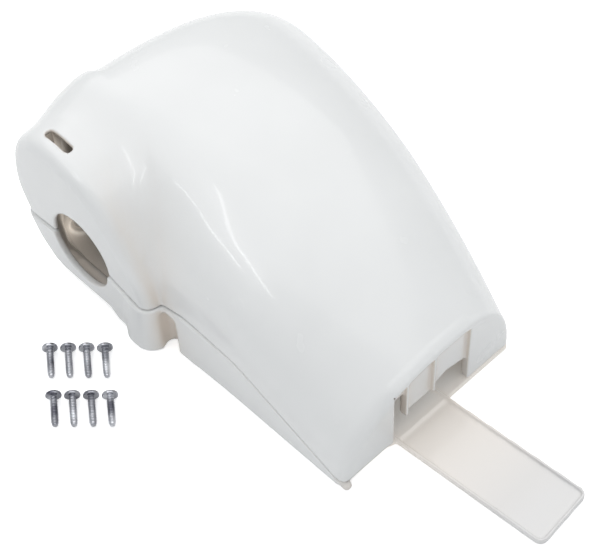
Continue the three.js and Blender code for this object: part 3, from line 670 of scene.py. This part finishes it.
def output_gear_field(g):
    radial = np.hypot(g.y - SHAFT_Y, g.z - SHAFT_Z)
    outline = gear_outline(SHAFT_Y, SHAFT_Z, OUTPUT_TEETH, OUTPUT_PITCH_R, MESH_ANGLE)
    teeth = outline_distance(outline, g.y[0], g.z[0])[None]
    solid = meet(teeth, slab(g.x, GEAR_X - 5, GEAR_X + 5), 0.5)
    web = np.maximum(np.maximum(21.5 - radial, radial - 27), np.abs(g.x - GEAR_X + 5) - 1.6)
    solid = cut(solid, web, 0.4)
    solid = join(solid, tube(radial, g.x, 0, 23, GEAR_X + 4, GEAR_X + 9, 0.6), 0.8)
    return cut(solid, radial - HUB_R - 0.3, 0.4)


def worm_wheel_field(g):
    radial = np.hypot(g.y - PINION_Y, g.z - PINION_Z)
    slant = 0.3 * (g.x - DRIVE_X)
    angle = np.arctan2(g.z - PINION_Z, g.y - PINION_Y) * WHEEL_TEETH / (2 * np.pi) + slant * 0.06
    tooth = np.clip(1.5 - 4.6 * np.abs(np.mod(angle + 0.5, 1) - 0.5), 0, 1)
    throat = 0.022 * (g.x - DRIVE_X) ** 2
    solid = meet(radial - (WHEEL_PITCH_R - 3 + 2.3 * tooth) - np.minimum(throat - 0.8, 0),
                 slab(g.x, DRIVE_X - 6, DRIVE_X + 6), 0.4)
    solid = join(solid, tube(radial, g.x, 0, 9, DRIVE_X + 5, DRIVE_X + 10, 0.5), 0.8)
    return cut(solid, radial - PINION_SHAFT_R - 0.3, 0.3)


def pinion_field(g):
    radial = np.hypot(g.y - PINION_Y, g.z - PINION_Z)
    phase = MESH_ANGLE + math.pi + math.pi / PINION_TEETH
    outline = gear_outline(PINION_Y, PINION_Z, PINION_TEETH, PINION_PITCH_R, phase)
    teeth = outline_distance(outline, g.y[0], g.z[0])[None]
    solid = meet(teeth, slab(g.x, GEAR_X - 6, GEAR_X + 5.5), 0.4)
    return join(solid, tube(radial, g.x, 0, PINION_SHAFT_R, CASE_X0 - 1, CASE_COVER_X1 + 1, 0.6), 0.5)


def worm_shaft_field(g):
    radial = np.hypot(g.x - DRIVE_X, g.z - WORM_Z)
    lead = WORM_STARTS * 2 * math.pi * WHEEL_PITCH_R / WHEEL_TEETH
    angle = np.arctan2(g.z - WORM_Z, g.x - DRIVE_X)
    wave = np.cos(WORM_STARTS * (angle - 2 * np.pi * g.y / lead))
    taper = np.clip(np.minimum(g.y - 163, 193 - g.y) / 3, 0, 1)
    thread = meet((radial - 5.6 - 0.9 * taper * (1 + wave)) * 0.85, slab(g.y, 163, 193), 0.4)
    return join(thread, tube(radial, g.y, 0, 3, MOTOR_Y0 + 4, 195, 0.5), 0.6)


def motor_can_field(g):
    radial = np.hypot(g.x - DRIVE_X, g.z - WORM_Z)
    solid = meet(radial - MOTOR_R, slab(g.y, MOTOR_Y0, MOTOR_Y1), 1.6)
    solid = cut(solid, np.maximum(radial - MOTOR_R + 1.6, g.y - MOTOR_Y1 + 2), 0.3)
    groove = np.hypot(radial - MOTOR_R, g.y - MOTOR_Y0 - 7) - 0.7
    return cut(cut(solid, groove, 0.3), np.maximum(radial - 6, MOTOR_Y1 - 3 - g.y), 0.4)


def motor_cap_field(g):
    radial = np.hypot(g.x - DRIVE_X, g.z - WORM_Z)
    solid = tube(radial, g.y, 0, MOTOR_R, MOTOR_Y0 - 5, MOTOR_Y0 - 0.3, 1.0)
    solid = join(solid, tube(radial, g.y, 0, 8, MOTOR_Y0 - 9, MOTOR_Y0 - 4, 0.8), 1.2)
    for side in (-1, 1):
        x = DRIVE_X + side * 13
        solid = join(solid, block(g.x, g.y, g.z, (x - 1, MOTOR_Y0 - 10, WORM_Z - 3),
                                  (x + 1, MOTOR_Y0 - 4, WORM_Z + 3), 0.3), 0.5)
        vent = np.maximum(np.abs(radial - 15.5) - 1.3, np.abs(g.x - DRIVE_X) - 6)
        vent = np.maximum(np.maximum(vent, -side * (g.z - WORM_Z)), g.y - MOTOR_Y0 + 3.4)
        solid = cut(solid, vent, 0.3)
    return cut(solid, np.maximum(radial - 3.3, slab(g.y, MOTOR_Y0 - 7, MOTOR_Y0 + 4)), 0.2)


def bracket_field(g):
    solid = block(g.x, g.y, g.z, (-36, 80, PLATE_Z0), (50, 172, PLATE_Z1))
    corners = meet(slab(g.x, -36, 50), slab(g.y, 80, 172), 4)
    solid = meet(solid, corners, 0.4)
    saddle = block(g.x, g.y, g.z, (DRIVE_X - 20, 92, PLATE_Z1 - 1), (DRIVE_X + 20, 100, 24), 0.5)
    solid = join(solid, saddle, 1.2)
    radial = np.hypot(g.x - DRIVE_X, g.z - WORM_Z)
    solid = cut(solid, np.maximum(radial - MOTOR_R - 0.3, slab(g.y, 70, 120)), 0.3)
    for x, y in POST_PLACES + FOOT_PLACES:
        solid = cut(solid, np.hypot(g.x - x, g.y - y) - 2.3, 0.2)
    return solid


def terminal_field(g):
    solid = block(g.x, g.y, g.z, (58, 118, WALL + 0.3), (86, 134, 16), 0.7)
    for side in (-1, 1):
        x = TERMINAL_X + TERMINAL_PITCH * side
        solid = cut(solid, np.maximum(np.hypot(g.x - x, g.z - TERMINAL_Z) - 1.9, g.y - 127), 0.3)
        screw_well = np.maximum(np.hypot(g.x - x, g.y - 128.5) - 2.4, 13.6 - g.z)
        solid = cut(solid, screw_well, 0.3)
    return cut(solid, block(g.x, g.y, g.z, (71.4, 116, 12), (72.6, 136, 18)), 0.2)


def lead_mesh(name, side, material):
    """Insulated lead as a smooth round tube along its curve."""
    x = DRIVE_X + side * 13
    end_x = TERMINAL_X + TERMINAL_PITCH * side
    stops = [(x, MOTOR_Y0 - 11, WORM_Z), (x + 2, MOTOR_Y0 - 17, WORM_Z),
             (x + 16 - 6 * side, MOTOR_Y0 - 17 - 3 * side, WORM_Z - 5), (54 + 4 * side, 60, 20),
             (64 + 6 * side, 88, TERMINAL_Z), (end_x, 106, TERMINAL_Z), (end_x, 126, TERMINAL_Z)]
    data = bpy.data.curves.new(name, "CURVE")
    data.dimensions = "3D"
    spline = data.splines.new("POLY")
    path = catmull(stops, 12)
    spline.points.add(len(path) - 1)
    for point, co in zip(spline.points, path):
        point.co = (*(Vector(co) * MM), 1)
    data.bevel_depth = LEAD_R * MM
    data.bevel_resolution = 4
    data.use_fill_caps = True
    data.materials.append(material)
    piece = bpy.data.objects.new(name, data)
    bpy.context.collection.objects.link(piece)
    return piece


def drive_pieces(finish):
    def round_x(name, node, body, slot, y, z, inner, outer, x0, x1, trim=None):
        """A ring or sleeve along X, with a further cut if trim makes one."""
        def make(g):
            solid = tube(np.hypot(g.y - y, g.z - z), g.x, inner, outer, x0, x1)
            return solid if trim is None else trim(solid, g)
        half = outer + 1.5
        shape(name, (x0 - 1.5, y - half, z - half), (x1 + 1.5, y + half, z + half), 0.6, make,
              finish[slot], body, node, slot)

    def keyway(solid, g):
        slot_box = block(g.x, g.y, g.z, (-45, SHAFT_Y - 3, SHAFT_Z), (-41, SHAFT_Y + 3, SHAFT_Z + 30))
        return cut(solid, slot_box, 0.2)

    def set_hole(solid, g):
        return cut(solid, np.maximum(np.hypot(g.x + 43, g.y - SHAFT_Y) - 2.5, SHAFT_Z - g.z), 0.3)

    pieces = [
        ("gear_case_shape", (-40, 135, 2), (38, 255, 92), 0.8, gear_case_field,
         "grey_plastic", "base", "gear_case"),
        ("gear_case_cover_shape", (20, 145, 2), (33, 255, 92), 0.6, case_cover_field,
         "grey_plastic", "base", "gear_case_cover"),
        ("output_gear_shape", (-22, 178, 9), (-3, 249, 79), 0.5, output_gear_field,
         "nylon", "output", "output_gear"),
        ("worm_wheel_shape", (0, 154, 38), (20, 200, 84), 0.5, worm_wheel_field,
         "bronze", "pinion", "worm_wheel"),
        ("pinion_shape", (-29, 164, 48), (28, 189, 74), 0.45, pinion_field,
         "shaft_steel", "pinion", "pinion_shaft"),
        ("worm_shape", (-1, 64, 25), (17, 197, 43), 0.5, worm_shaft_field,
         "shaft_steel", "rotor", "worm_shaft"),
        ("motor_can_shape", (-16, 60, 10), (32, 151, 58), 0.7, motor_can_field,
         "motor_steel", "base", "motor_can"),
        ("motor_cap_shape", (-16, 50, 10), (32, 64, 58), 0.5, motor_cap_field,
         "black_plastic", "base", "motor_end_cap"),
        ("bracket_shape", (-38, 78, 4), (52, 174, 26), 0.6, bracket_field,
         "zinc", "base", "drive_bracket"),
        ("terminal_shape", (56, 116, 2), (88, 136, 18), 0.5, terminal_field,
         "black_plastic", "base", "terminal_block"),
    ]
    for name, low, high, step, field, slot, body, node in pieces:
        shape(name, low, high, step, field, finish[slot], body, node, slot)
    round_x("output_hub_shape", "output_hub", "output", "shaft_steel", SHAFT_Y, SHAFT_Z,
            HUB_BORE_R, HUB_R, -50, CASE_COVER_X1 + 7, keyway)
    round_x("hub_collar_shape", "hub_collar", "output", "zinc", SHAFT_Y, SHAFT_Z,
            HUB_R + 0.3, 23, -49, -36, set_hole)
    bushes = [("output_bush", SHAFT_Y, SHAFT_Z, HUB_R, 20, 6, 5),
              ("pinion_bush", PINION_Y, PINION_Z, PINION_SHAFT_R, 7, 1.2, 1.2)]
    for kind, y, z, shaft_r, outer, past_case, past_cover in bushes:
        spans = [(CASE_X0 - past_case, CASE_X0 + WALL), (CASE_COVER_X0, CASE_COVER_X1 + past_cover)]
        for number, (x0, x1) in enumerate(spans):
            round_x(f"{kind}_{number + 1}_shape", f"{kind}_{number + 1}", "base", "bronze",
                    y, z, shaft_r + 0.3, outer, x0, x1)
    for side, number, slot in ((1, 1, "red_lead"), (-1, 2, "black_lead")):
        piece = lead_mesh(f"motor_lead_{number}_shape", side, finish[slot])
        enlist(piece, "base", f"motor_lead_{number}", slot)


# ------------------------------ materials

def new_material(name):
    material = bpy.data.materials.new(name)
    material.use_nodes = True
    tree = material.node_tree
    return material, tree, tree.nodes["Principled BSDF"]


def noise(tree, scale, detail=3.0, rough=0.5):
    coords = tree.nodes.new("ShaderNodeTexCoord")
    texture = tree.nodes.new("ShaderNodeTexNoise")
    texture.inputs["Scale"].default_value = scale
    texture.inputs["Detail"].default_value = detail
    texture.inputs["Roughness"].default_value = rough
    tree.links.new(coords.outputs["Object"], texture.inputs["Vector"])
    return texture.outputs["Fac"]


def ramp(tree, source, low, high, first=0.35, last=0.65):
    node = tree.nodes.new("ShaderNodeValToRGB")
    node.color_ramp.elements[0].position = first
    node.color_ramp.elements[0].color = (*low, 1)
    node.color_ramp.elements[1].position = last
    node.color_ramp.elements[1].color = (*high, 1)
    tree.links.new(source, node.inputs["Fac"])
    return node.outputs["Color"]


def spread(tree, source, low, high):
    node = tree.nodes.new("ShaderNodeMapRange")
    node.inputs["To Min"].default_value = low
    node.inputs["To Max"].default_value = high
    tree.links.new(source, node.inputs["Value"])
    return node.outputs["Result"]


def bump(tree, source, strength, distance):
    node = tree.nodes.new("ShaderNodeBump")
    node.inputs["Strength"].default_value = strength
    node.inputs["Distance"].default_value = distance
    tree.links.new(source, node.inputs["Height"])
    return node.outputs["Normal"]


def moulded(name, low, high, roughness, grain_scale=900.0, grain=0.04, coat=0.0):
    """Moulded plastic: faint colour drift, uneven gloss and a fine orange-peel skin."""
    material, tree, shader = new_material(name)
    tree.links.new(ramp(tree, noise(tree, 14.0), low, high), shader.inputs["Base Color"])
    tree.links.new(spread(tree, noise(tree, 35.0), roughness * 0.85, roughness * 1.2),
                   shader.inputs["Roughness"])
    tree.links.new(bump(tree, noise(tree, grain_scale, 2.0), grain, 0.0002), shader.inputs["Normal"])
    shader.inputs["IOR"].default_value = 1.5
    shader.inputs["Coat Weight"].default_value = coat
    shader.inputs["Coat Roughness"].default_value = 0.06
    return material


def own_shade(tree, reach):
    """Ambient occlusion by the piece's own shape only: 1 on open faces and 0 deep inside."""
    shade = tree.nodes.new("ShaderNodeAmbientOcclusion")
    shade.only_local = True
    shade.inputs["Distance"].default_value = reach
    shade.samples = 6
    return shade.outputs["AO"]


def rise(tree, source, start, full):
    """The source remapped to 0 at start and 1 at full, and held there past them."""
    node = tree.nodes.new("ShaderNodeMapRange")
    node.inputs["From Min"].default_value = start
    node.inputs["From Max"].default_value = full
    tree.links.new(source, node.inputs["Value"])
    return node.outputs["Result"]


def blend_colour(tree, factor, first, second):
    mix = tree.nodes.new("ShaderNodeMix")
    mix.data_type = "RGBA"
    tree.links.new(factor, mix.inputs["Factor"])
    tree.links.new(first, mix.inputs["A"])
    tree.links.new(second, mix.inputs["B"])
    return mix.outputs["Result"]


def arithmetic(tree, operation, first, second):
    node = tree.nodes.new("ShaderNodeMath")
    node.operation = operation
    tree.links.new(first, node.inputs[0])
    tree.links.new(second, node.inputs[1])
    return node.outputs["Value"]


def multiply(tree, first, second):
    return arithmetic(tree, "MULTIPLY", first, second)


def add(tree, first, second):
    return arithmetic(tree, "ADD", first, second)


def place(tree):
    """The place in the part's frame, in metres."""
    coords = tree.nodes.new("ShaderNodeTexCoord")
    split = tree.nodes.new("ShaderNodeSeparateXYZ")
    tree.links.new(coords.outputs["Object"], split.inputs["Vector"])
    return split.outputs["X"], split.outputs["Y"], split.outputs["Z"]


# The case's looks change with place, in metres, and with how far its own shape shades it: a painted warm
# shade in its hollows and a painted glow in the hub and along the arm.
WARM_SHADE_REACH, GLOW_REACH = 0.12, 0.05
HUB_GLOW, CHANNEL_GLOW = 0.42, 0.5


def case_white(name, with_arm):
    """Glossy white plastic with a painted warm shade where the case shades itself, and creamier along
    the arm.

    A weak glow in the hub's hollow and along the arm's channel stands for light that comes
    through the thin walls and in at the open ends.
    """
    material = moulded(name, (0.775, 0.78, 0.78), (0.80, 0.805, 0.805), 0.25, coat=0.35)
    tree = material.node_tree
    shader = tree.nodes["Principled BSDF"]
    colour = shader.inputs["Base Color"].links[0].from_socket
    x, y, z = place(tree)
    # Painted shade: the colour turns warm where the case's own shape shades it.
    painted_warm_shade = ramp(tree, noise(tree, 20.0), (0.75, 0.68, 0.61), (0.78, 0.71, 0.64))
    painted_shade_mask = rise(tree, own_shade(tree, WARM_SHADE_REACH), 1.0, 0.72)
    colour = blend_colour(tree, painted_shade_mask, colour, painted_warm_shade)
    if with_arm:
        root, end = (0.72, 0.675, 0.635), (0.73, 0.72, 0.715)
        cream = ramp(tree, rise(tree, y, 0.0, -0.085), root, end, 0.0, 0.9)
        colour = blend_colour(tree, rise(tree, y, 0.016, 0.006), colour, cream)
    tree.links.new(colour, shader.inputs["Base Color"])
    glow = ramp(tree, noise(tree, 20.0), (0.95, 0.89, 0.80), (1.0, 0.94, 0.85))
    tree.links.new(glow, shader.inputs["Emission Color"])
    deep = rise(tree, own_shade(tree, GLOW_REACH), 0.8, 0.15)
    lit = multiply(tree, deep, rise(tree, y, 0.17, 0.19))
    lit = multiply(tree, lit, rise(tree, z, 0.09, 0.075))
    if with_arm:
        channel = multiply(tree, rise(tree, y, -0.06, 0.01), rise(tree, y, 0.06, 0.03))
        channel = spread(tree, channel, 0.0, CHANNEL_GLOW)
        lit = add(tree, lit, multiply(tree, channel, rise(tree, x, -0.055, -0.045)))
    tree.links.new(spread(tree, lit, 0.0, HUB_GLOW), shader.inputs["Emission Strength"])
    return material


def metal(name, low, high, roughness, grain_scale=600.0, grain=0.08):
    material, tree, shader = new_material(name)
    tree.links.new(ramp(tree, noise(tree, 60.0, 4.0), low, high), shader.inputs["Base Color"])
    tree.links.new(spread(tree, noise(tree, 180.0, 4.0), roughness * 0.7, roughness * 1.35),
                   shader.inputs["Roughness"])
    tree.links.new(bump(tree, noise(tree, grain_scale, 3.0), grain, 0.0001), shader.inputs["Normal"])
    shader.inputs["Metallic"].default_value = 1.0
    return material


MATERIALS = {
    "white_case": case_white("white_gloss", False),
    "grey_plastic": moulded("grey_satin", (0.19, 0.2, 0.215), (0.24, 0.25, 0.265), 0.45, grain=0.2),
    "black_plastic": moulded("black_satin", (0.018, 0.018, 0.02), (0.03, 0.03, 0.033), 0.42, grain=0.2),
    "nylon": moulded("natural_nylon", (0.66, 0.62, 0.5), (0.74, 0.7, 0.58), 0.38, grain=0.12),
    "red_lead": moulded("red_insulation", (0.4, 0.02, 0.015), (0.5, 0.035, 0.025), 0.42),
    "black_lead": moulded("black_insulation", (0.012, 0.012, 0.013), (0.022, 0.022, 0.024), 0.42),
    "ferrite": moulded("ferrite", (0.05, 0.05, 0.055), (0.08, 0.08, 0.085), 0.65, grain=0.4),
    # Painted reflections: the zinc's colour swings at random from near black to bright, standing in for
    # the dark reflections and highlights that the plain white studio doesn't give it.
    "zinc": metal("zinc_painted_reflections", (0.13, 0.13, 0.16), (0.78, 0.79, 0.83), 0.2),
    "motor_steel": metal("drawn_steel", (0.36, 0.38, 0.4), (0.46, 0.48, 0.5), 0.36),
    "shaft_steel": metal("ground_steel", (0.5, 0.51, 0.53), (0.6, 0.61, 0.63), 0.24),
    "bronze": metal("bearing_bronze", (0.48, 0.3, 0.13), (0.58, 0.38, 0.17), 0.34),
    "copper_winding": metal("enamelled_copper", (0.5, 0.18, 0.07), (0.62, 0.25, 0.1), 0.35),
}


def dress_cad_nodes():
    """Gives each CAD node the material of its slot; most are then replaced by finer shapes."""
    slots = {entry["node"]: entry["material_slot"] for entry in frame["record"]["subparts"]}
    for name, node in frame["nodes"].items():
        node.data.materials.clear()
        node.data.materials.append(MATERIALS[slots[name]])


# ------------------------------ stage, light, camera

AIM_AZIMUTH, AIM_ELEVATION, AIM_ROLL = (math.radians(a) for a in (-41.627, 50.3, -3.282))
AIM_DISTANCE = 0.78909
AIM_SIDE, AIM_RISE = 0.0949, -0.1090  # the origin's offset in view, as parts of the distance
LENS_MM, SENSOR_MM = 84.0, 36
OVERHEAD_SPOT, CASE_MIDDLE = (0.35, 0.5, 1.9), (0.02, 0.14, 0.04)
STREAK_SPOT = (-0.035, 0.12, 0.09)  # on the near flank, where the streaks show
STREAK_WIDTH, STREAK_POWER = 0.04, 0.35


def place_camera():
    """Looks from the given direction, with the part's origin off the middle of the view."""
    a, e, r = AIM_AZIMUTH, AIM_ELEVATION, AIM_ROLL
    back = Vector((math.sin(a) * math.cos(e), -math.cos(a) * math.cos(e), math.sin(e)))
    right = Vector((math.cos(a), math.sin(a), 0))
    up = back.cross(right)
    right, up = right * math.cos(r) + up * math.sin(r), -right * math.sin(r) + up * math.cos(r)
    turn = Matrix((right, up, back)).transposed()
    spot = turn @ Vector((-AIM_SIDE, -AIM_RISE, 1)) * AIM_DISTANCE
    data = bpy.data.cameras.new("camera")
    data.lens = LENS_MM
    data.sensor_width = SENSOR_MM
    data.clip_start = 0.01
    camera = bpy.data.objects.new("camera", data)
    camera.matrix_world = Matrix.Translation(spot) @ turn.to_4x4()
    bpy.context.collection.objects.link(camera)
    bpy.context.scene.camera = camera


def new_light(name, size, power):
    data = bpy.data.lights.new(name, "AREA")
    data.shape = "RECTANGLE"
    data.size, data.size_y = size
    data.energy = power
    light = bpy.data.objects.new(name, data)
    bpy.context.collection.objects.link(light)
    return light


def overhead_light():
    spot, aim = Vector(OVERHEAD_SPOT), Vector(CASE_MIDDLE)
    light = new_light("overhead", (3.0, 3.0), 30)
    light.data.color = (1.0, 0.985, 0.97)
    light.location = spot
    light.rotation_euler = (aim - spot).to_track_quat("-Z", "Y").to_euler()


def strip_light(name, start, end):
    """Thin bright strip from one point to another, facing the case: it shows as a streak."""
    start, end = Vector(start), Vector(end)
    middle = (start + end) / 2
    along = (end - start).normalized()
    back = (middle - Vector(STREAK_SPOT)).normalized()
    side = back.cross(along).normalized()
    turn = Matrix((along, side, along.cross(side))).transposed().to_4x4()
    light = new_light(name, ((end - start).length, STREAK_WIDTH), STREAK_POWER)
    light.matrix_world = Matrix.Translation(middle) @ turn


def light_stage():
    bpy.context.scene.view_settings.view_transform = "Standard"
    world = bpy.data.worlds.new("studio")
    bpy.context.scene.world = world
    world.use_nodes = True
    sky = world.node_tree.nodes["Background"]
    sky.inputs["Color"].default_value = (0.95, 0.98, 1.0, 1)
    sky.inputs["Strength"].default_value = 0.6
    overhead_light()
    bend = (-0.7385, 0.137, 1.415)
    strip_light("streak_low", (-0.93, 0.433, 1.275), (-0.925, 0.136, 1.296))
    strip_light("streak_high", (-0.425, 0.254, 1.546), bend)
    strip_light("streak_end", bend, (-0.764, -0.177, 1.364))


def lay_floor():
    size, level = 6.0, -0.0003
    corners = [(-size, -size), (size, -size), (size, size), (-size, size)]
    mesh = bpy.data.meshes.new("floor")
    mesh.from_pydata([(x, y, level) for x, y in corners], [], [(0, 1, 2, 3)])
    floor = bpy.data.objects.new("floor", mesh)
    bpy.context.collection.objects.link(floor)
    material, tree, shader = new_material("pale_floor")
    tree.links.new(ramp(tree, noise(tree, 2.0), (0.93, 0.93, 0.93), (0.95, 0.95, 0.95)),
                   shader.inputs["Base Color"])
    shader.inputs["Roughness"].default_value = 0.9
    # The backdrop stays white in the case's shade, and doesn't light the case from below.
    shader.inputs["Emission Color"].default_value = (1, 1, 1, 1)
    seen = tree.nodes.new("ShaderNodeLightPath").outputs["Is Camera Ray"]
    tree.links.new(spread(tree, seen, 0.0, 0.5), shader.inputs["Emission Strength"])
    mesh.materials.append(material)


# ------------------------------ the object

place_camera()
dress_cad_nodes()
drive_pieces(MATERIALS)
all_screws(MATERIALS["zinc"])

front = front_cover(MATERIALS["white_case"])
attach(front, "cover")
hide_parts("front_cover")

back = back_cover(case_white("white_gloss_back", True))
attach(back, "base")
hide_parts("back_cover")

lay_floor()
light_stage()
